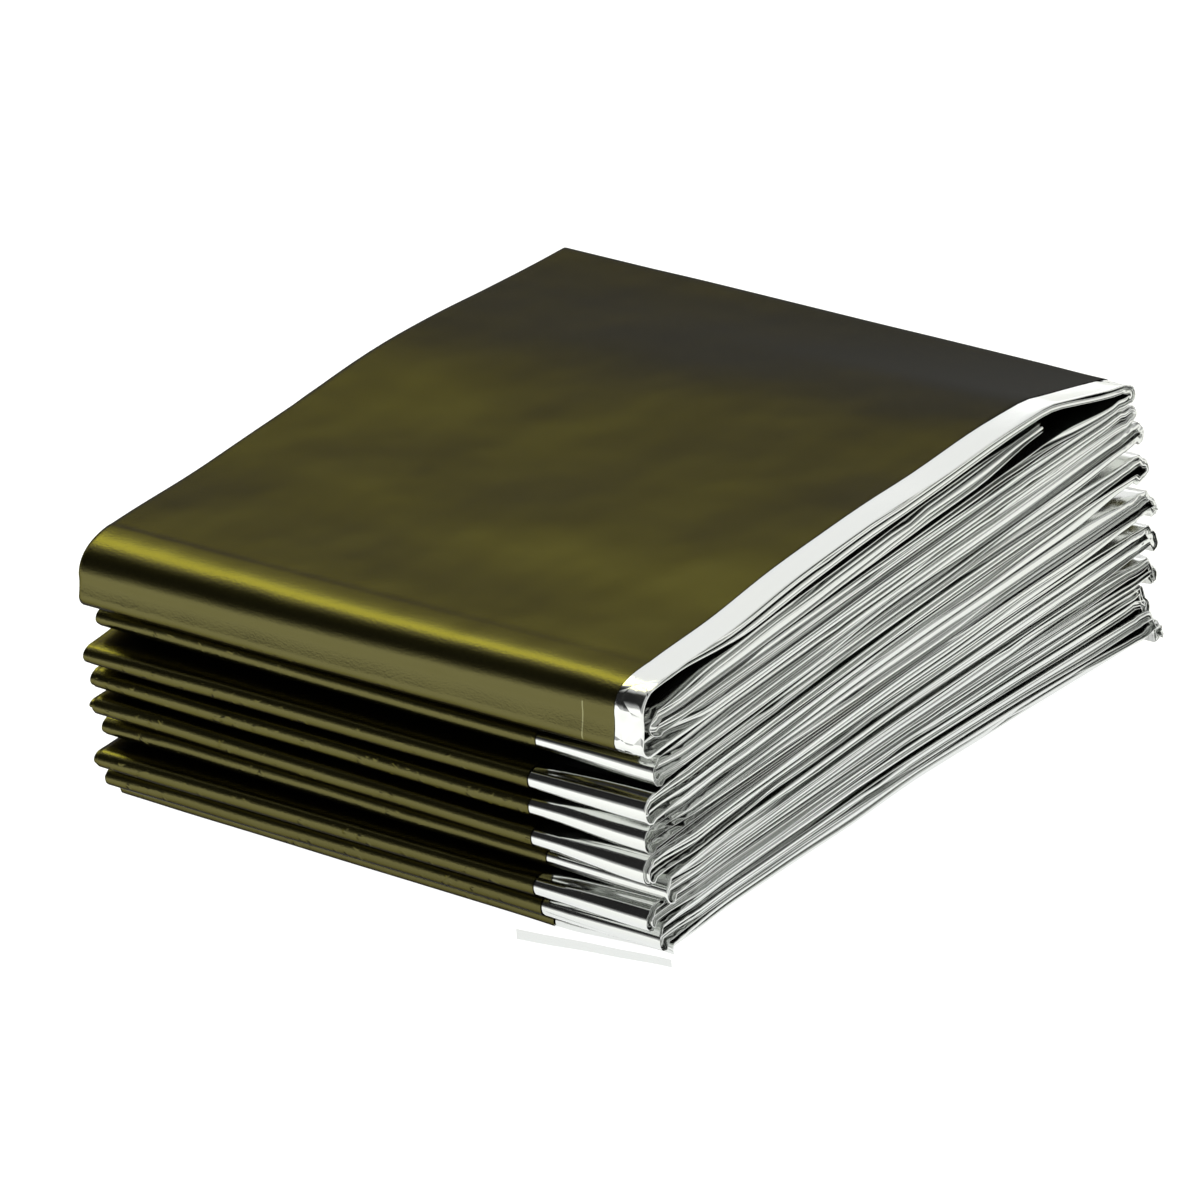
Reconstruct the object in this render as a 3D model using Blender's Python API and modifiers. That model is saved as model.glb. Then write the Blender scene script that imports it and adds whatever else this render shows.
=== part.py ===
"""Emergency foil blanket, fan-folded into a thick pack.

The folded film is one sheet that runs back and forth in nineteen panels. Its centre surface is
lofted along the folding path, and Solidify gives it the thickness of the bundled film.

Metres, +Z up. X runs along the fold lines, Y from the near folds to the far ones, and the origin
is at the bottom centre of the pack.
"""

import bpy
import numpy as np

MM = 0.001

PANEL_LENGTH = 106 * MM  # between the tips of a near fold and of a far fold
PACK_WIDTH = 101.7 * MM  # along the fold lines
SHEET = 1.26 * MM  # sixteen layers of film with the air between them
CLEARANCE = 0.32 * MM  # least gap between neighbouring panels
TIGHT = (SHEET + CLEARANCE) / 2  # half the distance between the two legs of a tight fold

# Near folds from the top down, in millimetres: the height of the tip and how far back it sits
# from the front, at the left and at the right side, and the shift of its right end to the right.
NEAR_COLUMNS = ("left_height", "right_height", "left_back", "right_back", "right_shift")
NEAR_FOLDS = (
    (34.0, 35.1, -0.3, -0.5, 0.3),
    (27.0, 27.7, 2.7, 1.7, -0.2),
    (22.8, 23.2, -0.6, -0.9, -0.4),
    (18.7, 18.8, 0.1, -0.8, -0.5),
    (15.0, 14.3, -0.5, -1.3, -0.1),
    (10.7, 10.4, 1.6, 1.0, 0.0),
    (7.1, 7.1, -1.3, -1.6, -0.6),
    (3.6, 3.8, 0.1, -0.8, -0.5),
    (0.0, 0.0, 1.6, 0.3, -0.8),
)
# Far folds: the height of the tip at both sides, half the distance between its legs, its reach
# past the panel length at both sides, and the shift of its right end.
FAR_COLUMNS = ("left_height", "right_height", "half", "left_reach", "right_reach", "right_shift")
FAR_FOLDS = (
    (39.6, 39.4, 0.80, -0.4, 0.2, 0.0),
    (36.3, 36.1, 0.82, 0.8, 0.3, 0.1),
    (32.6, 32.8, 0.85, 0.1, 0.9, 0.4),
    (27.9, 27.7, 1.15, 1.2, 0.6, 0.3),
    (22.5, 21.7, 1.10, 0.4, 1.9, 0.8),
    (16.9, 16.7, 1.10, 1.6, 1.5, 0.6),
    (11.8, 11.5, 1.10, 0.2, 1.0, 0.4),
    (7.2, 7.5, 0.95, 0.6, -0.9, -0.4),
    (2.1, 3.2, 1.30, 0.3, 0.6, 0.7),
)
# Down the length of the pack, from the front: the height of the top face at the left and at the
# right side, and how far the right side's underside stands off the floor.
SIDE_COLUMNS = ("distance", "top_left", "top_right", "lift_right")
SIDES = (
    (0, 38.9, 40.2, 1.0),
    (10, 39.4, 41.2, 2.2),
    (22, 39.7, 42.1, 2.7),
    (36, 40.5, 43.7, 3.2),
    (50, 41.4, 44.6, 3.6),
    (64, 42.3, 44.9, 3.6),
    (78, 42.7, 45.3, 3.5),
    (88, 42.7, 45.4, 3.3),
    (110, 42.7, 45.4, 3.0),
)
CROWN_LEAN = 1.3  # how late, going right, the top face rises from its left to its right height
LIFT_START = 0.7  # the part of the width that lies flat on the floor

TOP_BEND = 8 * MM  # the top panel starts to turn down into the crest here
CREST_CORNER = (33.0, 35.4)  # height of the upright part of the crest's front, left and right
CREST_SQUARE = (2.0, 2.8)  # 2 rounds the crest's corner like an ellipse, more makes it squarer
CREST_LEAN = 0.7 * MM  # the crest's front leans out by this much on its way down
CREST_TUCK = 1.1 * MM  # radius of the crest's lower edge
CREST_HALF = 3.55 * MM  # half the distance between the crest's two legs
INNER_HEIGHT = 34.7 * MM  # the fold inside the crest
INNER_BACK = 3.2 * MM
INNER_END = 86 * MM  # the sheet's hidden end stops here, under the top panel
INNER_END_HEIGHT = (40.2, 42.4)  # left and right

TOP_SLOPE = (88 * MM, 105 * MM)  # the top panel slopes down to its far fold over this stretch
PANEL_STOPS = np.array((4, 8, 13, 18, 27, 38, 50, 64, 78, 88, 94, 100)) * MM
STOP_MARGIN = 0.9 * MM  # no stop lies closer than this to a panel's end
FOLD_STEPS = 6
STATIONS = np.array((0, 0.25, 0.5, LIFT_START, 0.86, 1))  # from the left side to the right

OLIVE_FILM = {"color": (0.052, 0.048, 0.018, 1.0), "roughness": 0.36, "metallic": 0.85}

# Levels of the stack from the top down: panel 1, the two panels at the sheet's hidden end, then
# panels 2 to 17.
PANEL_1, PANEL_A, PANEL_B, PANEL_2 = range(4)
LAST_PANEL = 2 * len(NEAR_FOLDS) - 1
LOWEST = PANEL_2 + LAST_PANEL - 2


def column(table, columns, name):
    """One named column of a table in millimetres, as an array in metres."""
    return np.array([row[columns.index(name)] for row in table]) * MM


def across(left, right):
    """Values that run evenly from the left side to the right, one for each station."""
    return left + (right - left) * STATIONS


def fold_values(table, columns, name):
    """A quantity with a left and a right column, as one row of stations for each fold."""
    left = column(table, columns, "left_" + name)
    right = column(table, columns, "right_" + name)
    return across(left[:, None], right[:, None])


def ramp(value, start, end):
    """0 before start and 1 after end, straight between them."""
    return np.clip((value - start) / (end - start), 0, 1)


def smooth_step(value, start, end):
    """0 before start and 1 after end, with a smooth rise between them."""
    t = ramp(value, start, end)
    return t * t * (3 - 2 * t)


NEAR_TIPS = fold_values(NEAR_FOLDS, NEAR_COLUMNS, "height")
NEAR_FRONTS = fold_values(NEAR_FOLDS, NEAR_COLUMNS, "back") + SHEET / 2
NEAR_SHIFTS = column(NEAR_FOLDS, NEAR_COLUMNS, "right_shift")
FAR_TIPS = fold_values(FAR_FOLDS, FAR_COLUMNS, "height")
FAR_BACKS = PANEL_LENGTH + fold_values(FAR_FOLDS, FAR_COLUMNS, "reach") - SHEET / 2
FAR_HALVES = column(FAR_FOLDS, FAR_COLUMNS, "half")[:, None]
FAR_SHIFTS = column(FAR_FOLDS, FAR_COLUMNS, "right_shift")


def near_heights():
    """The height at which each level enters its near fold, by station."""
    inner = INNER_HEIGHT * np.ones(len(STATIONS))
    heights = [NEAR_TIPS[0] + CREST_HALF, inner + TIGHT, inner - TIGHT, NEAR_TIPS[0] - CREST_HALF]
    for tip in NEAR_TIPS[1:-1]:
        heights += [tip + TIGHT, tip - TIGHT]
    return np.array(heights + [NEAR_TIPS[-1] + SHEET / 2])


def far_heights():
    """The height of each level at its far end: the leg of a far fold, or the hidden end."""
    legs = np.stack((FAR_TIPS + FAR_HALVES, FAR_TIPS - FAR_HALVES), axis=1)
    heights = legs.reshape(-1, len(STATIONS))
    return np.insert(heights, PANEL_A, across(*INNER_END_HEIGHT) * MM, axis=0)


NEAR_HEIGHTS = near_heights()
FAR_HEIGHTS = far_heights()


def level_height(level, distance):
    """Height of a level's centre surface at every station, this far from the front.

    The top panel follows the top face and slopes down to its far fold. Every other level runs
    straight from its near fold to its far end, and rises with the underside's lift off the floor,
    less and less towards the top.
    """
    stops, left, right, lift = (column(SIDES, SIDE_COLUMNS, name) for name in SIDE_COLUMNS)
    if level == PANEL_1:
        left = np.interp(distance, stops, left)
        right = np.interp(distance, stops, right)
        top = left + (right - left) * STATIONS**CROWN_LEAN - SHEET / 2
        return top + ramp(distance, *TOP_SLOPE) * (FAR_HEIGHTS[level] - top)
    end = INNER_END if level == PANEL_A else PANEL_LENGTH
    height = NEAR_HEIGHTS[level] + ramp(distance, 0, end) * (FAR_HEIGHTS[level] - NEAR_HEIGHTS[level])
    lift = np.interp(distance, stops, lift) * smooth_step(STATIONS, LIFT_START, 1)
    chord = ramp(distance, 0, PANEL_LENGTH) * (FAR_HEIGHTS[LOWEST] - SHEET / 2)
    return height + np.maximum(lift - chord, 0) * level / LOWEST


def fold_arc(distance, height, half, far):
    """The rows of a fold from its upper leg to its lower one, without the rows at the legs."""
    turn = np.radians(np.linspace(90, -90 if far else 270, FOLD_STEPS + 1)[1:-1])
    return [(distance + half * np.cos(angle), height + half * np.sin(angle)) for angle in turn]


def panel(level, start, end):
    """The rows of a panel from its near end to its far end."""
    inside = (PANEL_STOPS > np.max(start) + STOP_MARGIN) & (PANEL_STOPS < np.min(end) - STOP_MARGIN)
    return [(y, level_height(level, y)) for y in (start, *PANEL_STOPS[inside], end)]


def crest_rows():
    """The big front fold, which wraps the fold inside it, from the top panel down to its edge."""
    top = level_height(PANEL_1, TOP_BEND)
    corner = across(*CREST_CORNER) * MM
    power = 2 / across(*CREST_SQUARE)
    depth = TOP_BEND - NEAR_FRONTS[0] - CREST_LEAN
    rows = []
    for angle in np.radians(np.linspace(0, 90, FOLD_STEPS + 1)[1:]):
        distance = TOP_BEND - depth * np.sin(angle) ** power
        rows.append((distance, corner + (top - corner) * max(np.cos(angle), 0) ** power))
    for angle in np.radians(np.linspace(180, 270, 4)[:-1]):
        distance = NEAR_FRONTS[0] + CREST_TUCK * (1 + np.cos(angle))
        rows.append((distance, NEAR_HEIGHTS[PANEL_2] + CREST_TUCK * (1 + np.sin(angle))))
    return rows


def folding_path():
    """Every row of the sheet's centre surface, as (distance, height, shift of the right end).

    It starts at the hidden end inside the crest and stops at the end on the floor.
    """
    path = []

    def add(rows, near, far):
        for distance, height in rows:
            along = ramp(distance, 0, PANEL_LENGTH)
            shift = NEAR_SHIFTS[near] + (FAR_SHIFTS[far] - NEAR_SHIFTS[near]) * along
            path.append(np.broadcast_arrays(distance, height, shift * STATIONS))

    inner = INNER_BACK + SHEET / 2 + TIGHT
    top_end = FAR_BACKS[0] - FAR_HALVES[0]
    add(panel(PANEL_A, inner, INNER_END)[::-1], 0, 0)
    add(fold_arc(inner, INNER_HEIGHT, TIGHT, far=False), 0, 0)
    add(panel(PANEL_B, inner, top_end), 0, 0)
    add(fold_arc(top_end, FAR_TIPS[0], FAR_HALVES[0], far=True)[::-1], 0, 0)
    add(panel(PANEL_1, TOP_BEND, top_end)[::-1], 0, 0)
    add(crest_rows(), 0, 0)

    near_starts = NEAR_FRONTS + TIGHT
    near_starts[0] = NEAR_FRONTS[0] + CREST_TUCK
    near_starts[-1] = NEAR_FRONTS[-1]
    far_ends = FAR_BACKS - FAR_HALVES
    for number in range(2, LAST_PANEL + 1):
        near, far = (number - 1) // 2, number // 2
        rows = panel(PANEL_2 + number - 2, near_starts[near], far_ends[far])
        if number % 2 == 0:
            add(rows, near, far)
            add(fold_arc(far_ends[far], FAR_TIPS[far], FAR_HALVES[far], far=True), near, far)
        else:
            add(rows[::-1], near, far)
            if number < LAST_PANEL:
                add(fold_arc(near_starts[near], NEAR_TIPS[near], TIGHT, far=False), near, far)
    return path


def centred_grid(path):
    """The centre surface's points, rows by stations, about the middle of the pack."""
    y, z, shift = np.array(path).transpose(1, 0, 2)
    x = PACK_WIDTH * STATIONS + shift
    for axis in (x, y):
        axis -= (axis.min() + axis.max()) / 2
    return np.stack((x, y, z), axis=-1)


def film_material():
    material = bpy.data.materials.new("olive_film")
    material.use_nodes = True
    shader = material.node_tree.nodes["Principled BSDF"]
    shader.inputs["Base Color"].default_value = OLIVE_FILM["color"]
    shader.inputs["Roughness"].default_value = OLIVE_FILM["roughness"]
    shader.inputs["Metallic"].default_value = OLIVE_FILM["metallic"]
    return material


def make_blanket(collection):
    grid = centred_grid(folding_path())
    rows, stations = grid.shape[:2]
    index = np.arange(rows * stations).reshape(rows, stations)
    corners = (index[:-1, :-1], index[1:, :-1], index[1:, 1:], index[:-1, 1:])
    faces = np.stack([corner.ravel() for corner in corners], axis=-1)

    mesh = bpy.data.meshes.new("blanket")
    mesh.from_pydata(grid.reshape(-1, 3).tolist(), [], faces.tolist())
    mesh.materials.append(film_material())
    mesh.shade_smooth()
    blanket = bpy.data.objects.new("blanket", mesh)
    collection.objects.link(blanket)

    solidify = blanket.modifiers.new("sheet thickness", "SOLIDIFY")
    solidify.thickness = SHEET
    solidify.offset = 0
    solidify.use_even_offset = True
    return blanket


def main():
    for old in list(bpy.data.objects):
        bpy.data.objects.remove(old, do_unlink=True)
    collection = bpy.data.collections.new("foil_blanket")
    bpy.context.scene.collection.children.link(collection)
    make_blanket(collection)


main()
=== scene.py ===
import math

import bpy
import numpy as np
from mathutils import Matrix


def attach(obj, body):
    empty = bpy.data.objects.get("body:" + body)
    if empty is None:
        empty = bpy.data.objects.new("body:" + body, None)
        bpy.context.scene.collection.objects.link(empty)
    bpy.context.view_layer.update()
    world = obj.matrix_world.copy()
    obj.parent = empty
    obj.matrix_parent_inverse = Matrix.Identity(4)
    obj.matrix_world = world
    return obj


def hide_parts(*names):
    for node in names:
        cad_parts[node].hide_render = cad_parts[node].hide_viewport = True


# Emergency foil blanket: one thin film, olive on one side and silver on the other. It is fan-folded
# into a strip of sixteen layers, and the strip is folded back and forth in nineteen panels. Sizes
# are in millimetres until a mesh is made.

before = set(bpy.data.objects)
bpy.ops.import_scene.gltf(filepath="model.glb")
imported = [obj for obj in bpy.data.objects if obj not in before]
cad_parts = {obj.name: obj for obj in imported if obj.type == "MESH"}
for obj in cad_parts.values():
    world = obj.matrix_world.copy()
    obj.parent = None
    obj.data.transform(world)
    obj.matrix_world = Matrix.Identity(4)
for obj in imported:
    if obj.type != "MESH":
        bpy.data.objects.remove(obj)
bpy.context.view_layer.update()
mm = 0.001
rng = np.random.default_rng(23)


# 0 before start and 1 after end, straight between them
def ramp(value, start, end):
    return np.clip((value - start) / (end - start), 0, 1)


# the same with a smooth rise, three t squared less two t cubed
def smoothStep(value, start, end):
    t = ramp(value, start, end)
    return t * t * (3 - 2 * t)


# the straight ramp averaged over a window of twice soft, so that its two corners are round
def softRamp(value, start, end, soft):
    def area(x):
        t = np.clip(x, start, end) - start
        return t * t / (2 * (end - start)) + np.maximum(x - end, 0)
    return (area(value + soft) - area(value - soft)) / (2 * soft)


# smooth curve through points: a cubic between each two, with the mean slope at every point
def throughPoints(value, xs, ys):
    xs, ys = np.asarray(xs, float), np.asarray(ys, float)
    slopes = np.gradient(ys, xs)
    i = np.clip(np.searchsorted(xs, value) - 1, 0, len(xs) - 2)
    step = xs[i + 1] - xs[i]
    t = np.clip((value - xs[i]) / step, 0, 1)
    a, b = (1 + 2 * t) * (1 - t) ** 2, t * t * (3 - 2 * t)
    c, d = t * (1 - t) ** 2, t * t * (t - 1)
    return a * ys[i] + b * ys[i + 1] + step * (c * slopes[i] + d * slopes[i + 1])


# the folded pack, as the solid has it: near folds from the top down (height of the tip and how far
# back it sits, left and right, shift of the right end), far folds (height left and right, half the
# distance between the legs, reach left and right, shift), and the sides along the pack's length
stack = {
    "length": 106.0, "width": 101.7, "tip": 1.26, "clearance": 0.32,
    "near": ((34.0, 35.1, -0.3, -0.5, 0.3), (27.0, 27.7, 2.7, 1.7, -0.2),
             (22.8, 23.2, -0.6, -0.9, -0.4), (18.7, 18.8, 0.1, -0.8, -0.5),
             (15.0, 14.3, -0.5, -1.3, -0.1), (10.7, 10.4, 1.6, 1.0, 0.0),
             (7.1, 7.1, -1.3, -1.6, -0.6), (3.6, 3.8, 0.1, -0.8, -0.5),
             (0.0, 0.0, 1.6, 0.3, -0.8)),
    "far": ((39.6, 39.4, 0.80, -0.4, 0.2, 0.0), (36.3, 36.1, 0.82, 0.8, 0.3, 0.1),
            (32.6, 32.8, 0.85, 0.1, 0.9, 0.4), (27.9, 27.7, 1.15, 1.2, 0.6, 0.3),
            (22.5, 21.7, 1.10, 0.4, 1.9, 0.8), (16.9, 16.7, 1.10, 1.6, 1.5, 0.6),
            (11.8, 11.5, 1.10, 0.2, 1.0, 0.4), (7.2, 7.5, 0.95, 0.6, -0.9, -0.4),
            (2.1, 3.2, 1.30, 0.3, 0.6, 0.7)),
    "distance": (0, 10, 22, 36, 50, 64, 78, 88, 110),
    "topLeft": (38.9, 39.4, 39.7, 40.5, 41.4, 42.3, 42.7, 42.7, 42.7),
    "topRight": (40.2, 41.2, 42.1, 43.7, 44.6, 44.9, 45.3, 45.4, 45.4),
    "lift": (1.0, 2.2, 2.7, 3.2, 3.6, 3.6, 3.5, 3.3, 3.0),  # underside of the right side
    "crownLean": 1.3, "liftStart": 0.7,
    "topSlope": (88.0, 105.0), "slopeSoft": 1.2, "slopeLeft": (64.0, 106.0),  # down to the far fold
    "topRise": 0.3, "riseIn": (6.0, 30.0), "riseOut": (76.0, 92.0),  # soft swell of the top
    # the crest: its start, its corner's height and squareness left and right, the lean of its front,
    # the radius of its foot, and half its height
    "topBend": 8.0, "corner": (34.2, 36.0), "square": (2.0, 2.8), "lean": 0.7, "tuck": 1.1,
    "crestHalf": 3.55,
    # the strip's hidden end inside the crest
    "innerHeight": 34.7, "innerBack": 2.2, "innerEnd": 86.0, "innerSteps": 30,
    "endHeight": (40.2, 42.4), "crestLegRoom": 1.1,
    # thickness of the layers together: pressed together at the folds, and apart between them
    "closed": 1.2, "topClosed": 1.35, "farClosed": 1.4, "lastClosed": 1.9, "thickest": 3.2,
    "gap": 0.2, "opening": 13.0, "closing": (15.0, 2.0), "thinnest": 0.25, "endLength": 0.5,
    # near folds grow from this share of the width on: least room, room for each share, most
    "growthStart": 0.76, "growth": (0.81, 2.07, 1.55), "tightShare": 0.45,
    # reach and power of a fold's half ellipse, and how much sharper it is at the left side
    "nearNose": (1.2, 0.7), "farNose": (1.15, 0.8), "innerNose": (1.7, 1.35),
    "leftSharp": 0.5, "sharpEnd": 0.14, "pressed": 0.25,
    # how far the crest's layers stand apart inwards at the right side, and where
    "crestGrowth": 0.8, "crestFade": (6.0, 26.0), "crestLegFade": (2.0, 14.0), "crestStart": 0.84,
    "panelSteps": 44, "foldSteps": 10, "crestSteps": 22, "stations": 49, "crowding": 0.085,
    "origin": (51.25, 53.15),  # place of the frame's origin across and along the strip
}
stations = np.linspace(0, 1, stack["stations"])
nearTable, farTable = np.array(stack["near"]).T, np.array(stack["far"]).T


# values that run evenly from the left side to the right, one column for each station
def across(left, right):
    left, right = np.atleast_1d(left)[:, None], np.atleast_1d(right)[:, None]
    return left + (right - left) * stations


nearTips = across(nearTable[0], nearTable[1])
# near folds are fuller at the right, as far as the room between their neighbours allows
spacing = -np.diff(nearTips, axis=0)
spacing = np.minimum(np.vstack((spacing[1:2], spacing)), np.vstack((spacing, spacing[-1:])))
spacing[0] = spacing[2]
least, perShare, most = stack["growth"]
growth = np.clip((spacing - least) / perShare, 1, most)
growth = 1 + (growth - 1) * smoothStep(stations, stack["growthStart"], 1)
closedNear = stack["closed"] * growth
tight = (stack["tip"] + stack["clearance"]) / 2 * (stack["tightShare"] + (1 - stack["tightShare"]) * growth)
nearFronts = across(nearTable[2], nearTable[3]) + stack["tip"] / 2
farTips = across(farTable[0], farTable[1])
farHalves = farTable[2][:, None]
farBacks = stack["length"] + across(farTable[3], farTable[4]) - stack["tip"] / 2
farEnds = farBacks - farHalves
nearStarts = nearFronts + tight
nearStarts[0] = nearFronts[0] + stack["tuck"]
innerStart = stack["innerBack"] + stack["tip"] / 2 + tight[0]

# heights at which each level of the stack enters its near and its far fold, from the top down:
# panel 1, the two panels at the hidden end, then panels 2 to 17
levels = 2 * len(stack["near"]) + 1
inner = np.full(len(stations), stack["innerHeight"])
nearHeights = [nearTips[0] + stack["crestHalf"], inner + tight[0], inner - tight[0],
               nearTips[0] - stack["crestHalf"]]
for tipRow, half in zip(nearTips[1:-1], tight[1:-1]):
    nearHeights += [tipRow + half, tipRow - half]
nearHeights = np.array(nearHeights + [nearTips[-1] + stack["tip"] / 2])
farHeights = np.stack((farTips + farHalves, farTips - farHalves), 1).reshape(-1, len(stations))
farHeights = np.insert(farHeights, 1, across(*stack["endHeight"])[0], 0)


# height of a level: the top one follows the top face, with a soft swell, and slopes down to its far
# fold; the others run straight from end to end and rise a little where the right side's underside
# stands off the floor. Distance has a row for each row of film and a column for each station
def levelHeight(level, distance):
    table = [throughPoints(distance, stack["distance"], stack[name])
             for name in ("topLeft", "topRight", "lift")]
    if level == 0:
        top = table[0] + (table[1] - table[0]) * stations ** stack["crownLean"] - stack["tip"] / 2
        swell = (np.sin(distance / 13 + 4 * stations) * np.sin(1 + 6.5 * stations - distance / 31)
                 + 0.3 * np.sin(distance / 5 - 9 * stations) * np.sin(11 * stations + distance / 17))
        swell = swell * smoothStep(distance, *stack["riseIn"]) * (1 - smoothStep(distance, *stack["riseOut"]))
        top = top + stack["topRise"] * swell
        left = (1 - stations) ** 0.7
        slope = ((1 - left) * softRamp(distance, *stack["topSlope"], stack["slopeSoft"])
                 + left * smoothStep(distance, *stack["slopeLeft"]))
        return top + slope * (farHeights[0] - top)
    end = stack["innerEnd"] if level == 1 else stack["length"]
    height = nearHeights[level] + ramp(distance, 0, end) * (farHeights[level] - nearHeights[level])
    lift = table[2] * smoothStep(stations, stack["liftStart"], 1)
    chord = ramp(distance, 0, stack["length"]) * (farHeights[-1] - stack["tip"] / 2)
    return height + np.maximum(lift - chord, 0) * level / (levels - 1)


# rows of the film's middle surface in the order of the folding: distance, height, shift, and the
# thickness of all the layers together
rowsY, rowsZ, rowsShift, rowsThick, rowsPanel = [], [], [], [], []


def addRows(y, z, near, far, thick, panel):
    along = ramp(y, 0, stack["length"])
    shift = nearTable[4][near] + (farTable[5][far] - nearTable[4][near]) * along
    rowsY.append(y + 0 * z)
    rowsZ.append(z + 0 * y)
    rowsShift.append(shift * stations)
    rowsThick.append(np.broadcast_to(thick, y.shape) + 0.0)
    rowsPanel.append(np.full(len(y), panel))


# a panel: distance runs from its near to its far end, closer together at both ends. Away from its
# folds its layers fill the room between the levels above and below
def addPanel(level, start, end, near, far, panel, backwards, steps=stack["panelSteps"]):
    isTop, isLast, half = level == 0, level == levels - 1, stack["tip"] / 2
    t = np.linspace(0, 1, steps + 1)[:, None]
    t = t - stack["crowding"] * np.sin(2 * np.pi * t)
    y = start + (end - start) * t
    if isLast:  # closer rows where the film's end on the floor rounds down
        turn = np.linspace(0, np.pi / 2, 9)[:, None]
        y = np.vstack((start + stack["endLength"] * (1 - np.cos(turn)), y[2:]))
    z = levelHeight(level, y)
    upper = z + half if isTop else (levelHeight(level - 1, y) + z - stack["gap"]) / 2
    lower = z - half if isLast else (levelHeight(level + 1, y) + z + stack["gap"]) / 2
    if level == 3:  # only air lies over the crest's lower leg until the hidden panels come down
        upper = np.minimum(upper, z + stack["crestLegRoom"])
    closed = stack["topClosed"] if isTop else stack["lastClosed"] if isLast else closedNear[near]
    full = np.clip(upper - lower, closed, stack["thickest"])
    toFar = smoothStep(y, end - stack["closing"][0], end - stack["closing"][1])
    opened = smoothStep(y, start + 1, start + stack["opening"]) * (1 - toFar)
    thick = closed + (full - closed) * opened + (stack["farClosed"] - closed) * toFar
    between = np.clip(z, lower + full / 2, upper - full / 2)
    middle = upper - full / 2 if isTop else np.where(upper - lower > full, between, (upper + lower) / 2)
    if isLast:  # that end closes like a quarter of an ellipse
        taper = 1 - ramp(y, start, start + stack["endLength"])
        thick = np.maximum(thick * np.sqrt(1 - taper ** 2), stack["thinnest"])
        z = z - (closed - thick) / 2 * (taper > 0)
    z = z + (middle - z) * opened
    if isTop:
        z = z + (half - closed / 2) * (1 - opened)
    order = slice(None, None, -1 if backwards else 1)
    addRows(y[order], z[order], near, far, thick[order], panel)


# a fold: half an ellipse drawn out to a soft point, from its upper leg to its lower one or back. Its
# reach is the cosine of the turn to a power, and the layers are pressed together at the point
def addFold(y, z, half, far, upwards, nearNumber, farNumber, panel, nose="nearNose"):
    nose = stack["farNose" if far else nose]
    turn = np.radians(np.linspace(90, -90 if far else 270, stack["foldSteps"] + 1)[1:-1])[:, None]
    turn = turn[::-1] if upwards else turn
    sharp = stack["leftSharp"] * (1 - smoothStep(stations, 0, stack["sharpEnd"]))
    outwards = np.sign(np.cos(turn)) * np.abs(np.cos(turn)) ** (nose[1] + sharp)
    reach = (nose[0] + 0.5 * sharp) * outwards
    closed = stack["farClosed"] if far else closedNear[nearNumber]
    thick = closed * (1 - stack["pressed"] * np.cos(turn) ** 2)
    addRows(y + half * reach, z + half * np.sin(turn), nearNumber, farNumber, thick, panel)


# the crest: a rounded corner like a squared ellipse, a front that leans out on its way down, and a
# small quarter circle into panel 2
def addCrest():
    top, before, after = (levelHeight(0, np.full((1, len(stations)), stack["topBend"] + offset))
                          for offset in (0.0, -0.5, 0.5))
    corner, power = across(*stack["corner"]), 2 / across(*stack["square"])
    depth = stack["topBend"] - nearFronts[0] - stack["lean"]
    turn = np.linspace(0, 1, stack["crestSteps"] + 1)[1:, None] ** 1.25 * np.pi / 2
    y = stack["topBend"] - depth * np.sin(turn) ** power
    z = corner + (top - corner) * np.maximum(np.cos(turn), 0) ** power
    gone = (stack["topBend"] - y) / depth
    z = z - (after - before) * depth * gone * np.maximum(1 - gone, 0) ** 2  # it leaves with the top's slope
    low = np.linspace(0, 1, 8)[1:-1, None]
    foot = nearHeights[3] + stack["tuck"]
    y = np.vstack((y, y[-1] + (nearFronts[0] - y[-1]) * low ** 1.3))
    z = np.vstack((z, z[-1] + (foot - z[-1]) * low))
    turn = np.radians(np.linspace(180, 270, 7)[:-1])[:, None]
    y = np.vstack((y, nearFronts[0] + stack["tuck"] * (1 + np.cos(turn))))
    z = np.vstack((z, nearHeights[3] + stack["tuck"] * (1 + np.sin(turn))))
    addRows(y, z, 0, 0, stack["topClosed"], 1)


addPanel(1, innerStart, np.full(len(stations), stack["innerEnd"]), 0, 0, -1, True, stack["innerSteps"])
addFold(innerStart, inner, tight[0], False, False, 0, 0, -1, "innerNose")
addPanel(2, innerStart, farEnds[0], 0, 0, 0, False)
addFold(farEnds[0], farTips[0], farHalves[0], True, True, 0, 0, 0)
addPanel(0, np.full(len(stations), stack["topBend"]), farEnds[0], 0, 0, 1, True)
addCrest()
for panel in range(2, 2 * len(stack["near"])):
    near, far = (panel - 1) // 2, panel // 2
    if panel % 2 == 0:
        addPanel(panel + 1, nearStarts[near], farEnds[far], near, far, panel, False)
        addFold(farEnds[far], farTips[far], farHalves[far], True, False, near, far, panel)
    else:
        addPanel(panel + 1, nearStarts[near], farEnds[far], near, far, panel, True)
        if near < len(stack["near"]) - 1:
            addFold(nearStarts[near], nearTips[near], tight[near], False, False, near, far, panel)

pathY, pathZ, pathShift, thickness = (np.vstack(rows) for rows in (rowsY, rowsZ, rowsShift, rowsThick))
rowPanel = np.concatenate(rowsPanel)
pathZ = np.maximum(pathZ, thickness / 2)
# the crest's layers stand apart inwards at the right side
inCrest = (rowPanel == 1)[:, None] * (1 - smoothStep(pathY, *stack["crestFade"]))
inCrest = inCrest + (rowPanel == 2)[:, None] * (1 - smoothStep(pathY, *stack["crestLegFade"]))
spread = stack["crestGrowth"] * inCrest * smoothStep(stations, stack["crestStart"], 1)
print("folding path:", pathY.shape[0], "rows,", pathY.shape[1], "stations")


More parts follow.
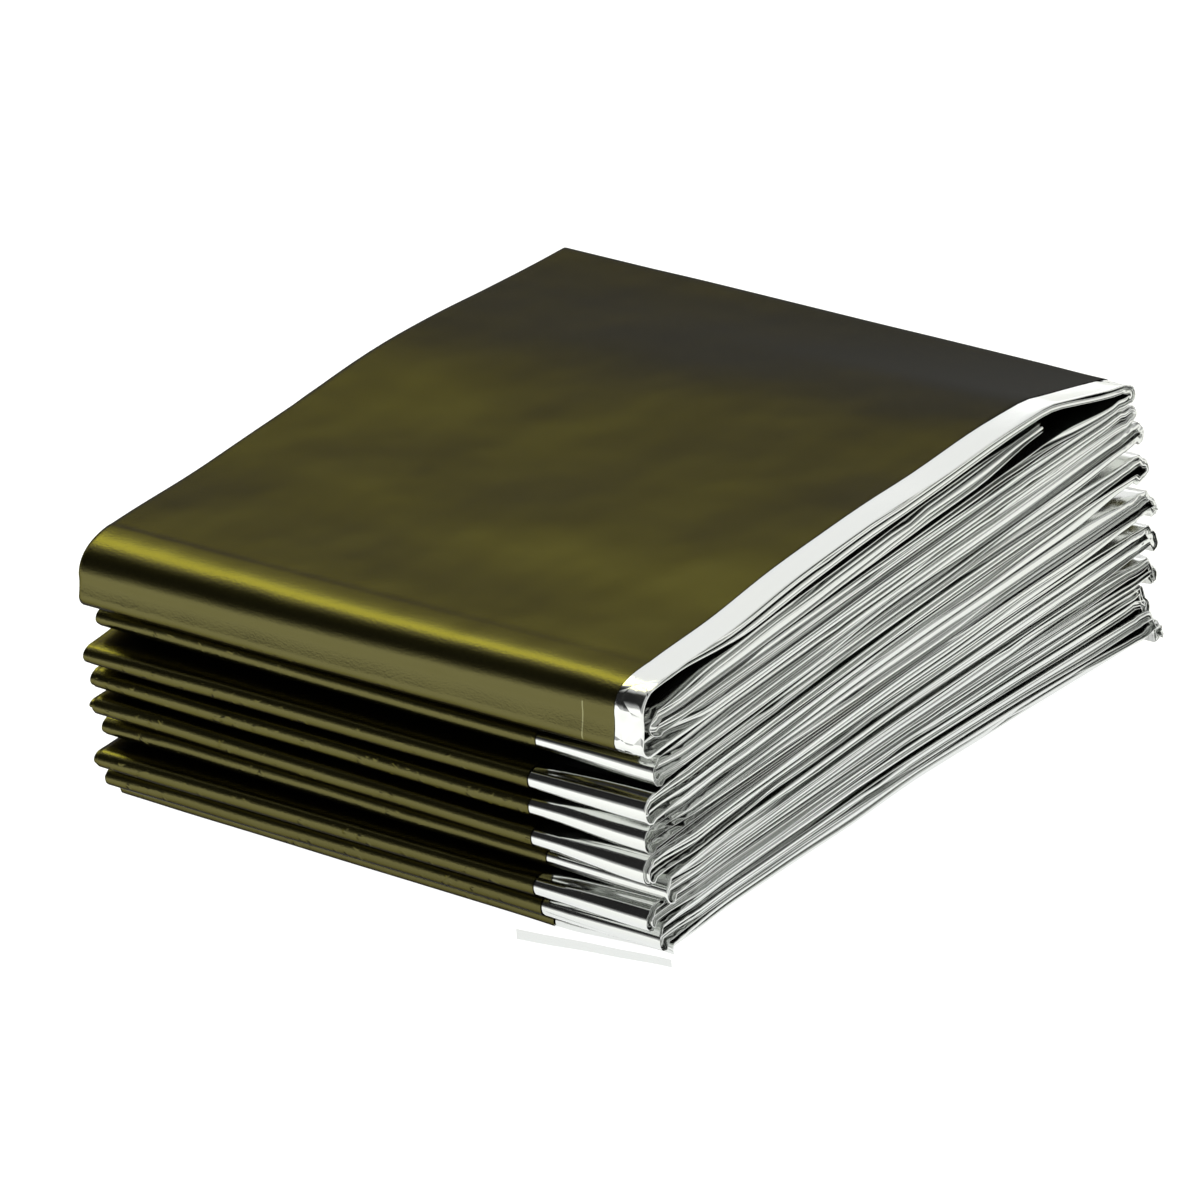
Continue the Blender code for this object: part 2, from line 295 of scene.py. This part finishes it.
# smooth random field over the film: knots this far apart along it and across it, joined smoothly
def field(spacingAlong, spacingAcross):
    run = np.concatenate(((0,), np.cumsum(np.hypot(np.diff(pathY[:, 0]), np.diff(pathZ[:, 0])))))
    knots = rng.standard_normal((int(run[-1] / spacingAlong) + 3, int(stack["width"] / spacingAcross) + 3))
    i, u = np.divmod(run / spacingAlong, 1)
    j, v = np.divmod(stations * stack["width"] / spacingAcross, 1)
    i, j, u, v = i.astype(int), j.astype(int), (u * u * (3 - 2 * u))[:, None], v * v * (3 - 2 * v)
    rows = knots[i] * (1 - u) + knots[i + 1] * u
    return rows[:, j] * (1 - v) + rows[:, j + 1] * v


# dents along the folds, shallower in the middle, and crumpled far folds at the right side; each
# spacing is along the film and across it
dents = {
    "nearFold": (1.5, 5.0), "farFold": (99.0, 105.0), "depth": 0.3, "middleShare": 0.3,
    "middle": (0.2, 0.35), "nearDepth": 0.5, "nearSpacing": (12.0, 14.0), "farDepth": 0.7,
    "farSpacing": (9.0, 14.0), "crumpleStart": 0.92, "crumpleAbove": 3.0, "crumple": 0.55,
    "crumpleUp": 0.5, "upSpacing": (1.6, 4.0), "outSpacing": (1.2, 4.0),
}
atNear = 1 - smoothStep(pathY, *dents["nearFold"])
atFar = smoothStep(pathY, *dents["farFold"])
atRight = smoothStep(stations, dents["crumpleStart"], 1) * (pathZ > dents["crumpleAbove"])
crumple = dents["crumple"] * atFar * atRight
fromMiddle = smoothStep(np.abs(stations - 0.5), *dents["middle"])
depth = dents["depth"] * (dents["middleShare"] + (1 - dents["middleShare"]) * fromMiddle)
pathY = (pathY + atNear * dents["nearDepth"] * depth * field(*dents["nearSpacing"])
         + atFar * dents["farDepth"] * depth * field(*dents["farSpacing"]))
pathZ = pathZ + crumple * dents["crumpleUp"] * field(*dents["upSpacing"])
pathY = pathY + crumple * field(*dents["outSpacing"])

# unit vector across the film in the upright plane, from the turned mean direction of each row
stepY, stepZ = np.diff(pathY, axis=0), np.diff(pathZ, axis=0)
stepLength = np.hypot(stepY, stepZ)
unitY, unitZ = stepY / stepLength, stepZ / stepLength
meanY = np.vstack((unitY[:1], unitY[1:] + unitY[:-1], unitY[-1:]))
meanZ = np.vstack((unitZ[:1], unitZ[1:] + unitZ[:-1], unitZ[-1:]))
size = np.hypot(meanY, meanZ)
normalY, normalZ = meanZ / size, -meanY / size
along = np.concatenate(((0,), np.cumsum(stepLength.mean(1))))
rowCount = len(along)
print("strip length:", round(along[-1] / 1000, 3), "m")

# how the sixteen layers of film lie in the strip
film = {
    "layers": 16, "innerShare": 0.75,
    # how far short of the right side the outermost layer ends on top, on the near folds, and at the
    # back of the strip, how far its edge wanders, and over what length
    "recessTop": 4.7, "recessNear": 21.0, "recessFar": 4.5, "recessWander": (0.35, 0.5),
    "recessLength": 60.0, "recessStart": (20.0, 150.0),
    # a fold's leg in steps back from its edge, its arc, and its depth as a share of its gap
    "edgeSteps": (51.0, 35.0, 24.4, 23.7, 16.0, 9.0, 5.0, 2.6, 1.2, 0.4, 0.0),
    "arcSteps": 5, "nose": 0.15, "noseLimits": (0.03, 0.15), "longSteps": 40, "crowding": 0.12,
    # folds wander in and out by reach, and vary in thickness along the film
    "reach": 0.32, "reachLength": 55.0, "reachMean": 0.6, "reachGrowth": (0.7, 1.2),
    "gapLength": 85.0, "shortLength": 14.0, "gapParts": (0.9, 0.2), "uneven": 1.4, "thinnest": 0.25,
    "slit": 0.4, "openings": 60, "openingLength": (1.2, 4.0), "openingSize": (1.0, 3.0),
    # folds that sit back from the side
    "backLength": 70.0, "back": 1.0, "backRight": (0.6, 1.3), "backLeft": (0.4, 1.2), "backThin": 0.8,
    "crestBack": 3.4, "nearBack": 1.5, "nearBackFade": (1.5, 9.0), "deep": (0.4, 1.0),
    "rightZone": (0.72, 0.98), "leftZone": (0.02, 0.28),  # where the layers spread towards a side
}
layers = film["layers"]


# random lines along the film: even knots joined by smooth steps, one column for each line
def wander(spacing, lines):
    knots = rng.standard_normal((int(along[-1] / spacing) + 3, lines))
    place = along / spacing
    i = place.astype(int)
    t = (place - i)[:, None]
    t = t * t * (3 - 2 * t)
    return knots[i] * (1 - t) + knots[i + 1] * t


# share of the bundle's thickness above each layer, from gaps that vary along the film: folds are
# thick and the gaps between them thin, with some standing open. A fold that sits back is thin too
def layerShares(firstFold, back):
    gaps = np.arange(layers - 1)
    isFold = (gaps % 2 == firstFold)[None]
    longPart, shortPart = film["gapParts"]
    line = (longPart * wander(film["gapLength"], layers - 1)
            + shortPart * wander(film["shortLength"], layers - 1))
    size = np.where(isFold, film["thinnest"] + np.exp(film["uneven"] * line), film["slit"] * np.exp(line))
    size[:, firstFold::2] *= 1 - film["backThin"] * back
    # short openings between the folds, each a bell curve along the film
    place = rng.uniform(0, along[-1], film["openings"])
    length = rng.uniform(*film["openingLength"], film["openings"])
    bells = np.exp(-((along[:, None] - place) / length) ** 2)
    bells = bells * rng.uniform(*film["openingSize"], film["openings"])
    gapOf = 2 * rng.integers(0, (layers - 2) // 2, film["openings"]) + (1 - firstFold)
    size = size + bells @ (gapOf[:, None] == gaps)
    size /= size.sum(1, keepdims=True)
    return np.hstack((np.zeros((rowCount, 1)), np.cumsum(size, 1)))


# how far each fold sits back from the side, 0 to 1
rightFolds, leftFolds = layers // 2 - 1, layers // 2
backRight = smoothStep(wander(film["backLength"], rightFolds), *film["backRight"])
backLeft = smoothStep(wander(film["backLength"], leftFolds), *film["backLeft"])
shareRight, shareLeft = layerShares(1, backRight), layerShares(0, backLeft)
# away from the sides the inner layers keep clear of the two outer ones
shareMiddle = np.arange(layers) / (layers - 1)
shareMiddle[1:-1] = 0.5 + film["innerShare"] * (shareMiddle[1:-1] - 0.5)
shareMiddle = np.broadcast_to(shareMiddle, shareRight.shape)


# value of a table by rows and stations at any place across, by straight interpolation
def atStations(table, s):
    place = np.clip(s, 0, 1) * (len(stations) - 1)
    i = np.minimum(place.astype(int), len(stations) - 2)
    t = place - i
    return np.take_along_axis(table, i, 1) * (1 - t) + np.take_along_axis(table, i + 1, 1) * t


# points of a run of film: x is its place across in millimetres, upper and lower are the two layers
# that mix says how far it lies between
def filmPoints(x, upper, lower, mix):
    s = x / stack["width"]
    right, left = smoothStep(s, *film["rightZone"]), 1 - smoothStep(s, *film["leftZone"])
    share = 0
    for layer, weight in ((upper, 1 - mix), (lower, mix)):
        middle = shareMiddle[:, layer]
        share = share + weight * (middle + right * (shareRight[:, layer] - middle)
                                  + left * (shareLeft[:, layer] - middle))
    offset = atStations(thickness, s) * (0.5 - share) - atStations(spread, s) * share
    y = atStations(pathY, s) + atStations(normalY, s) * offset
    z = atStations(pathZ, s) + atStations(normalZ, s) * offset
    return np.stack((x + atStations(pathShift, s) - stack["origin"][0], y - stack["origin"][1], z), -1)


# the parts that a run is made of: a leg in steps from the middle line to its start, the turn of its
# arc, and the fold's depth, a fixed share of its gap
middle, steps = stack["width"] / 2, np.array(film["edgeSteps"])
arcTurn = np.linspace(0, np.pi, film["arcSteps"] + 2)[1:-1]


def foldParts(upper, edgeX, side):
    shares = shareRight if side > 0 else shareLeft
    gap = (shares[:, upper + 1] - shares[:, upper]) * thickness[:, -1 if side > 0 else 0]
    depth = np.clip(film["nose"] * gap, *film["noseLimits"])[:, None]
    start = edgeX[:, None] - side * depth
    leg = middle + (start - middle) * (1 - steps / steps[0])
    return start, leg, start + side * depth * np.sin(arcTurn)


# one run of film from the middle line out to a fold and back: the fold is half an ellipse, and its
# edge wanders in and out
def foldRun(upper, edgeX, side):
    start, leg, arc = foldParts(upper, edgeX, side)
    x = np.hstack((leg, arc, leg[:, ::-1]))
    mix = np.concatenate((0 * steps, (1 - np.cos(arcTurn)) / 2, 0 * steps + 1))
    return filmPoints(x, np.full(len(mix), upper), np.full(len(mix), upper + 1), mix)


# a fold at the left side whose one leg runs on across the whole width to the film's own edge
def freeRun(upper, edgeX, freeX, freeIsUpper):
    start, leg, arc = foldParts(upper, edgeX, -1)
    q = np.linspace(0, 1, film["longSteps"])
    q = q - film["crowding"] * np.sin(2 * np.pi * q)
    x = np.hstack((freeX[:, None] + (start - freeX[:, None]) * q, arc, leg[:, ::-1]))
    mix = np.concatenate((0 * q, (1 - np.cos(arcTurn)) / 2, 0 * steps + 1))
    if not freeIsUpper:
        x, mix = x[:, ::-1], 1 - mix[::-1]
    return filmPoints(x, np.full(len(mix), upper), np.full(len(mix), upper + 1), mix)


# mesh of several runs of film; each is a grid of rows along the strip and columns across it, and lies
# beside the others on the map for patterns. turned says that the faces look the other way
def makeFilm(name, runs, turned, material):
    points, faces, uvs, first = [], [], [], 0
    for number, run in enumerate(runs):
        rows, columns = run.shape[:2]
        index = first + np.arange(rows * columns).reshape(rows, columns)
        corners = [index[:-1, :-1], index[1:, :-1], index[1:, 1:], index[:-1, 1:]]
        corners = corners[::-1] if turned else corners
        faces.append(np.stack([corner.ravel() for corner in corners], -1))
        points.append(run.reshape(-1, 3) * mm)
        u = (number + 0.02 + 0.96 * np.linspace(0, 1, columns)) / len(runs)
        v = along / along[-1] if rows == rowCount else np.linspace(0, 1, rows)
        uvs.append(np.stack(np.broadcast_arrays(u, v[:, None]), -1).reshape(-1, 2))
        first += rows * columns
    faces = np.concatenate(faces)
    mesh = bpy.data.meshes.new(name)
    mesh.from_pydata(np.concatenate(points).tolist(), [], faces.tolist())
    layer = mesh.uv_layers.new(name="OFBake")
    layer.data.foreach_set("uv", np.concatenate(uvs)[faces.ravel()].astype(np.float32).ravel())
    mesh.shade_smooth()
    mesh.materials.append(material)
    piece = bpy.data.objects.new(name, mesh)
    bpy.context.scene.collection.objects.link(piece)
    print("film:", name, 2 * len(faces), "triangles")
    return piece


# sRGB hex colour as linear red, green, blue and alpha
def linearColor(hexColor):
    parts = [int(hexColor[i:i + 2], 16) / 255 for i in (1, 3, 5)]
    return [p / 12.92 if p <= 0.04045 else ((p + 0.055) / 1.055) ** 2.4 for p in parts] + [1.0]


# adds a node with its settings, and links or sets its inputs
def addNode(tree, kind, settings=None, **inputs):
    node = tree.nodes.new(kind)
    for key, value in (settings or {}).items():
        setattr(node, key, value)
    for key, value in inputs.items():
        socket = node.inputs[int(key[1:])] if key[0] == "i" and key[1:].isdigit() else node.inputs[key]
        if isinstance(value, bpy.types.NodeSocket):
            tree.links.new(value, socket)
        else:
            socket.default_value = value
    return node


# product of steps over values of a pattern or a place, from 0 before start to 1 after end; a step
# given backwards falls
def zone(tree, steps, result=None, kind="LINEAR"):
    for value, start, end in steps:
        low, high = sorted((start, end))
        step = addNode(tree, "ShaderNodeMapRange", {"interpolation_type": kind}, i0=value, i1=low, i2=high,
                       i3=float(start > end), i4=float(start < end)).outputs[0]
        result = step if result is None else addNode(
            tree, "ShaderNodeMath", {"operation": "MULTIPLY"}, i0=result, i1=step).outputs[0]
    return result


# a new material with its nodes, the place on the object in its three axes, and how far the surface
# faces upwards
def startMaterial(name):
    material = bpy.data.materials.new(name)
    material.use_nodes = True
    tree = material.node_tree
    place = addNode(tree, "ShaderNodeTexCoord").outputs["Object"]
    axes = addNode(tree, "ShaderNodeSeparateXYZ", None, Vector=place).outputs
    normal = addNode(tree, "ShaderNodeNewGeometry").outputs["Normal"]
    facing = addNode(tree, "ShaderNodeSeparateXYZ", None, Vector=normal).outputs[2]
    return material, tree, tree.nodes["Principled BSDF"], place, (*axes[:3], facing)


# ranges in millimetres over the axes x, y, z (0 to 2), and over the facing (3), as steps for zone
def placeSteps(axes, ranges):
    return [(axes[axis], start * (mm if axis < 3 else 1), end * (mm if axis < 3 else 1))
            for axis, start, end in ranges]


# metallised polyester, olive lacquered side: a dark satin metal. The lacquer's own grain is some
# hundredths of a millimetre, too fine to show, so it is drawn at 0.3 mm, as a slight sheen
oliveLook = {
    "color": "#5c5834", "roughness": 0.26, "tint": 0.03, "coat": 0.12,
    "grainSize": 0.3, "grainDepth": 0.06, "grainStrength": 0.5, "swellSize": 20.0, "swellDepth": 0.5,
    # small dents along the near folds: the tops of a noise, in clusters
    "dentSize": 1.1, "dentDepth": 0.09, "dentTops": (0.62, 0.85), "clusterSize": 11.11,
    "clusterTops": (0.42, 0.55), "dentPlace": ((1, -49, -51), (2, 33, 30), (3, 0.7, 0.55)),
    # one pale line painted down the crest along a crease, a painted highlight of that crease: middle and half
    # width across, how far forward, middle and half height
    "crease": "#8a8864", "creaseX": (40.2, 0.11), "creaseY": -51.8, "creaseZ": (34.6, 2.7),
}


def makeOlive():
    look = oliveLook
    material, tree, shader, place, axes = startMaterial("oliveLacqueredFilm")
    swell = addNode(tree, "ShaderNodeTexNoise", None, Vector=place, Scale=1000 / look["swellSize"],
                    Detail=2.0)
    grain = addNode(tree, "ShaderNodeTexNoise", None, Vector=place, Scale=1000 / look["grainSize"],
                    Detail=2.0)
    bump = addNode(tree, "ShaderNodeBump", None, Strength=1.0, Distance=look["swellDepth"] * mm,
                   Height=swell.outputs[0])
    bump = addNode(tree, "ShaderNodeBump", None, Strength=look["grainStrength"],
                   Distance=look["grainDepth"] * mm, Height=grain.outputs[0], Normal=bump.outputs[0])
    dent = addNode(tree, "ShaderNodeTexNoise", None, Vector=place, Scale=1000 / look["dentSize"], Detail=0.0)
    cluster = addNode(tree, "ShaderNodeTexNoise", None, Vector=place, Scale=1000 / look["clusterSize"],
                      Detail=1.0)
    dent = zone(tree, [(dent.outputs[0], *look["dentTops"])], None, "SMOOTHSTEP")
    dent = zone(tree, [(cluster.outputs[0], *look["clusterTops"])], dent)
    dent = zone(tree, placeSteps(axes, look["dentPlace"]), dent)
    bump = addNode(tree, "ShaderNodeBump", None, Strength=1.0, Distance=look["dentDepth"] * mm,
                   Height=dent, Normal=bump.outputs[0])
    # mask of the painted highlight: a thin pale line down the crest's front, where a crease would catch the
    # light
    paintedHighlightLine = addNode(tree, "ShaderNodeMath", {"operation": "LESS_THAN"}, i0=axes[1],
                       i1=look["creaseY"] * mm).outputs[0]
    for axis, (centre, halfWidth) in ((0, look["creaseX"]), (2, look["creaseZ"])):
        near = addNode(tree, "ShaderNodeMath", {"operation": "COMPARE"}, i0=axes[axis], i1=centre * mm,
                       i2=halfWidth * mm).outputs[0]
        paintedHighlightLine = addNode(tree, "ShaderNodeMath", {"operation": "MULTIPLY"}, i0=paintedHighlightLine, i1=near).outputs[0]
    # the film's own colour, with the painted highlight line mixed in
    color = addNode(tree, "ShaderNodeMix", {"data_type": "RGBA"}, i0=paintedHighlightLine,
                    i6=linearColor(look["color"]), i7=linearColor(look["crease"]))
    tree.links.new(color.outputs[2], shader.inputs["Base Color"])
    shader.inputs["Metallic"].default_value = 1.0
    shader.inputs["Roughness"].default_value = look["roughness"]
    shader.inputs["Specular Tint"].default_value = [look["tint"]] * 3 + [1.0]
    shader.inputs["Coat Weight"].default_value = look["coat"]
    shader.inputs["Coat Roughness"].default_value = look["roughness"]
    tree.links.new(bump.outputs[0], shader.inputs["Normal"])
    return material


# metallised polyester, bare aluminium side: a bright mirror that fine creases break up
silverLook = {
    "color": "#dcdedb", "roughness": 0.14, "creaseSize": 3.0, "creaseDepth": 0.02,
    # deeper wrinkles where the film goes round the crest
    "wrinkleSize": 3.03, "wrinkleDepth": 0.35, "wrinklePlace": ((1, -47, -51), (2, 29, 31)),
    # narrow pleats along the bare near folds, where the outer layer ends short, drawn out across
    "pleatSize": 1.7, "pleatDepth": 0.9, "pleatStretch": (0.035, 1.0, 1.0),
    "pleatPlace": ((0, 25, 34), (1, -40, -48), (2, 32, 30.5), (3, 0.55, 0.8)),
    # crumpled tips of the far folds at the right side
    "tipSize": 1.6, "tipDepth": 1.2, "tipPlace": ((0, 48.6, 49.8), (1, 48, 51.5), (3, 0.6, 0.4)),
}


def makeSilver():
    look = silverLook
    material, tree, shader, place, axes = startMaterial("aluminiumSideOfFilm")
    drawnOut = addNode(tree, "ShaderNodeMapping", None, Vector=place, Scale=look["pleatStretch"]).outputs[0]
    crease = addNode(tree, "ShaderNodeTexNoise", None, Vector=place, Scale=1000 / look["creaseSize"],
                     Detail=3.0)
    wrinkle = addNode(tree, "ShaderNodeTexVoronoi", {"feature": "DISTANCE_TO_EDGE"}, Vector=place,
                      Scale=1000 / look["wrinkleSize"])
    pleat = addNode(tree, "ShaderNodeTexNoise", None, Vector=drawnOut, Scale=1000 / look["pleatSize"],
                    Detail=0.0)
    tip = addNode(tree, "ShaderNodeTexNoise", None, Vector=place, Scale=1000 / look["tipSize"], Detail=1.0)
    bump = addNode(tree, "ShaderNodeBump", None, Strength=1.0, Distance=look["creaseDepth"] * mm,
                   Height=crease.outputs[0])
    for name, pattern in (("wrinkle", wrinkle), ("pleat", pleat), ("tip", tip)):
        height = zone(tree, placeSteps(axes, look[name + "Place"]), pattern.outputs[0])
        bump = addNode(tree, "ShaderNodeBump", None, Strength=1.0, Distance=look[name + "Depth"] * mm,
                       Height=height, Normal=bump.outputs[0])
    shader.inputs["Base Color"].default_value = linearColor(look["color"])
    shader.inputs["Metallic"].default_value = 1.0
    shader.inputs["Roughness"].default_value = look["roughness"]
    tree.links.new(bump.outputs[0], shader.inputs["Normal"])
    return material


olive, silver = makeOlive(), makeSilver()
print("materials: olive lacquered side and aluminium side")

# edges of the folds at both sides
fullness = np.linspace(*film["reachGrowth"], rightFolds)
edgeRight = (stack["width"] - film["back"] * backRight
             + film["reach"] * (wander(film["reachLength"], rightFolds) - film["reachMean"]) * fullness)
# all but the outermost sit back round the crest and round the near folds
deep = rng.uniform(*film["deep"], rightFolds) * (np.arange(rightFolds) > 0)
atFront = 1 - smoothStep(pathY[:, -1:], *film["nearBackFade"])
edgeRight = edgeRight - deep * np.maximum(film["crestBack"] * inCrest[:, -1:], film["nearBack"] * atFront)
edgeLeft = (film["back"] * backLeft
            - film["reach"] * (wander(film["reachLength"], leftFolds) - film["reachMean"]))
# the outermost layer stops short of the right side, further on the lower folds than on top
fromTop = along - along[np.argmax(rowPanel == 2)]
recess = (film["recessTop"] + (film["recessNear"] - film["recessTop"])
          * smoothStep(fromTop, *film["recessStart"]))
freeUpper = stack["width"] - recess - film["recessWander"][0] * wander(film["recessLength"], 1)[:, 0]
freeLower = (stack["width"] - film["recessFar"]
             - film["recessWander"][1] * wander(film["recessLength"], 1)[:, 0])

silverRuns = [foldRun(2 * k + 1, edgeRight[:, k], 1) for k in range(rightFolds)]
oliveRuns = [foldRun(2 * k, edgeLeft[:, k], -1) for k in range(1, leftFolds - 1)]
outerRun = freeRun(0, edgeLeft[:, 0], freeUpper, True)
innerRun = freeRun(layers - 2, edgeLeft[:, -1], freeLower, False)
# a corner of the film's end stands off in front of the pack on the floor: a low upright strip that
# runs evenly back to the pack towards the right, with a slight ripple
flap = {
    "left": 77.7, "right": 101.6, "columns": 40, "rows": 7, "off": 0.5, "forward": 3.9, "bend": 1.1,
    "height": 1.5, "lower": 0.25, "floorGap": 0.03, "lean": 0.1, "ripple": 0.06, "rippleLength": 1.7,
}
x, t = np.meshgrid(np.linspace(flap["left"], flap["right"], flap["columns"]), np.linspace(0, 1, flap["rows"]))
toRight = ramp(x, flap["left"], flap["right"])
y = nearFronts[-1].min() - flap["off"] - flap["forward"] * (1 - toRight) ** flap["bend"]
y = y + flap["lean"] * t + flap["ripple"] * np.sin(x / flap["rippleLength"])
z = flap["floorGap"] + flap["height"] * (1 - flap["lower"] * toRight) * t
flapRun = np.stack((x - stack["origin"][0], y - stack["origin"][1], z), -1)[::-1]

# the pieces of film: widths is the flat width in widths of the strip
for name, runs, material, slotName, widths in (
    ("silverOuterFolds", silverRuns[:3] + [flapRun], silver, "silver_film", 3.0),
    ("silverMiddleFolds", silverRuns[3:5], silver, "silver_film", 2.0),
    ("silverInnerFolds", silverRuns[5:], silver, "silver_film", 2.0),
    ("oliveOuterLayer", [outerRun], olive, "olive_film", 1.35),
    ("oliveInnerLayer", [innerRun], olive, "olive_film", 1.45),
    ("oliveLeftOuterFolds", oliveRuns[:3], olive, "olive_film", 3.0),
    ("oliveLeftInnerFolds", oliveRuns[3:], olive, "olive_film", 3.0),
):
    piece = makeFilm(name, runs, slotName == "silver_film", material)
    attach(piece, "root")
    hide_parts("blanket")

# plain pale floor; a lit white sweep glows a little of itself
stage = {"size": 6.0, "color": "#b0b0ae", "roughness": 0.9, "glow": 0.7}
floorMesh = bpy.data.meshes.new("floor")
half = stage["size"] / 2
floorMesh.from_pydata([(-half, -half, 0), (half, -half, 0), (half, half, 0), (-half, half, 0)], [],
                      [(0, 1, 2, 3)])
floor = bpy.data.objects.new("floor", floorMesh)
bpy.context.scene.collection.objects.link(floor)
floorMaterial = bpy.data.materials.new("paleFloor")
floorMaterial.use_nodes = True
floorShader = floorMaterial.node_tree.nodes["Principled BSDF"]
floorShader.inputs["Base Color"].default_value = linearColor(stage["color"])
floorShader.inputs["Roughness"].default_value = stage["roughness"]
floorShader.inputs["Emission Color"].default_value = (1, 1, 1, 1)
floorShader.inputs["Emission Strength"].default_value = stage["glow"]
floorShader.inputs["Specular IOR Level"].default_value = 0.0
floorMesh.materials.append(floorMaterial)

# soft studio: a pale surround that is dimmer near the horizon, brighter behind the pack, a large warm
# softbox above to the left, and two darker parts of the room. Each part is a brightness and smooth
# steps over the direction's x, y and z (0, 1, 2)
studio = {
    "horizon": 0.5,
    "parts": {
        "middle": (0.62, ((2, 0.2, 0.6),)),
        "back": (1.1, ((0, 0.0, -0.4), (1, 0.05, 0.35), (2, -0.1, 0.08), (2, 0.85, 0.65))),
        "backLow": (1.5, ((0, 0.0, -0.4), (1, 0.4, 0.6), (2, -0.1, 0.05), (2, 0.36, 0.2))),
        "softbox": (5.4, ((2, 0.5, 0.65), (0, -0.2, -0.45), (0, -0.92, -0.78), (1, 0.07, 0.19),
                          (1, 0.46, 0.24))),
        "dark": (0.02, ((1, -0.02, -0.14), (0, -0.25, -0.45), (2, 0.06, 0.28), (2, 0.95, 0.85))),
        "darkRight": (0.6, ((0, 0.3, 0.5), (1, 0.0, 0.3), (2, 0.0, 0.15), (2, 0.95, 0.8))),
    },
    "warm": (1.0, 0.98, 0.22, 1.0),
    "lamp": 3.0, "lampColor": (0.98, 1.0, 1.06), "lampSize": 0.3, "lampPlace": (-0.22, -0.26, 0.45),
}
world = bpy.data.worlds.new("softStudio")
bpy.context.scene.world = world
world.use_nodes = True
worldTree = world.node_tree
background = worldTree.nodes["Background"]
direction = addNode(worldTree, "ShaderNodeSeparateXYZ", None,
                    Vector=addNode(worldTree, "ShaderNodeTexCoord").outputs["Generated"]).outputs
brightness, zones = studio["horizon"], {}
for name, (level, sides) in studio["parts"].items():
    zones[name] = zone(worldTree, [(direction[axis], start, end) for axis, start, end in sides], None,
                       "SMOOTHSTEP")
    brightness = addNode(worldTree, "ShaderNodeMix", {"data_type": "FLOAT"}, i0=zones[name],
                         i2=brightness, i3=level).outputs[0]
worldTree.links.new(brightness, background.inputs["Strength"])
tint = addNode(worldTree, "ShaderNodeMix", {"data_type": "RGBA"}, i0=zones["softbox"],
               i6=(1, 1, 1, 1), i7=studio["warm"])
worldTree.links.new(tint.outputs[2], background.inputs["Color"])

# a lamp over the floor in front to the left, which the film sees only as light on the floor
lampLight = bpy.data.lights.new("floorLamp", "AREA")
lampLight.energy, lampLight.size = studio["lamp"], studio["lampSize"]
lampLight.color = studio["lampColor"]
lampLight.use_shadow = False
lamp = bpy.data.objects.new("floorLamp", lampLight)
lamp.location = studio["lampPlace"]
lamp.visible_glossy = False
bpy.context.scene.collection.objects.link(lamp)
print("stage: floor, studio and lamp")

# the camera at the photograph's angle: azimuth, elevation and roll in degrees, distance in metres
# from a target in millimetres
view = {
    "azimuth": 43.3128, "elevation": 25.6561, "roll": -7.0094, "distance": 1.56253,
    "target": (-5.56, 1.47, 17.48), "lens": 340.27, "sensor": 36.0,
}
az, el, roll = (math.radians(view[name]) for name in ("azimuth", "elevation", "roll"))
back = np.array((math.sin(az) * math.cos(el), -math.cos(az) * math.cos(el), math.sin(el)))
side = np.array((math.cos(az), math.sin(az), 0))
up = np.cross(back, side)
right = math.cos(roll) * side + math.sin(roll) * up
top = -math.sin(roll) * side + math.cos(roll) * up
place = np.array(view["target"]) * mm + back * view["distance"]
cameraData = bpy.data.cameras.new("camera")
cameraData.sensor_width, cameraData.lens = view["sensor"], view["lens"]
cameraData.clip_start, cameraData.clip_end = 0.05, 50
camera = bpy.data.objects.new("camera", cameraData)
bpy.context.scene.collection.objects.link(camera)
camera.matrix_world = Matrix(np.column_stack((right, top, back, place)).tolist() + [[0, 0, 0, 1]])
bpy.context.scene.camera = camera
bpy.context.scene.view_settings.view_transform = "Standard"
print("camera at azimuth", view["azimuth"], "and elevation", view["elevation"])
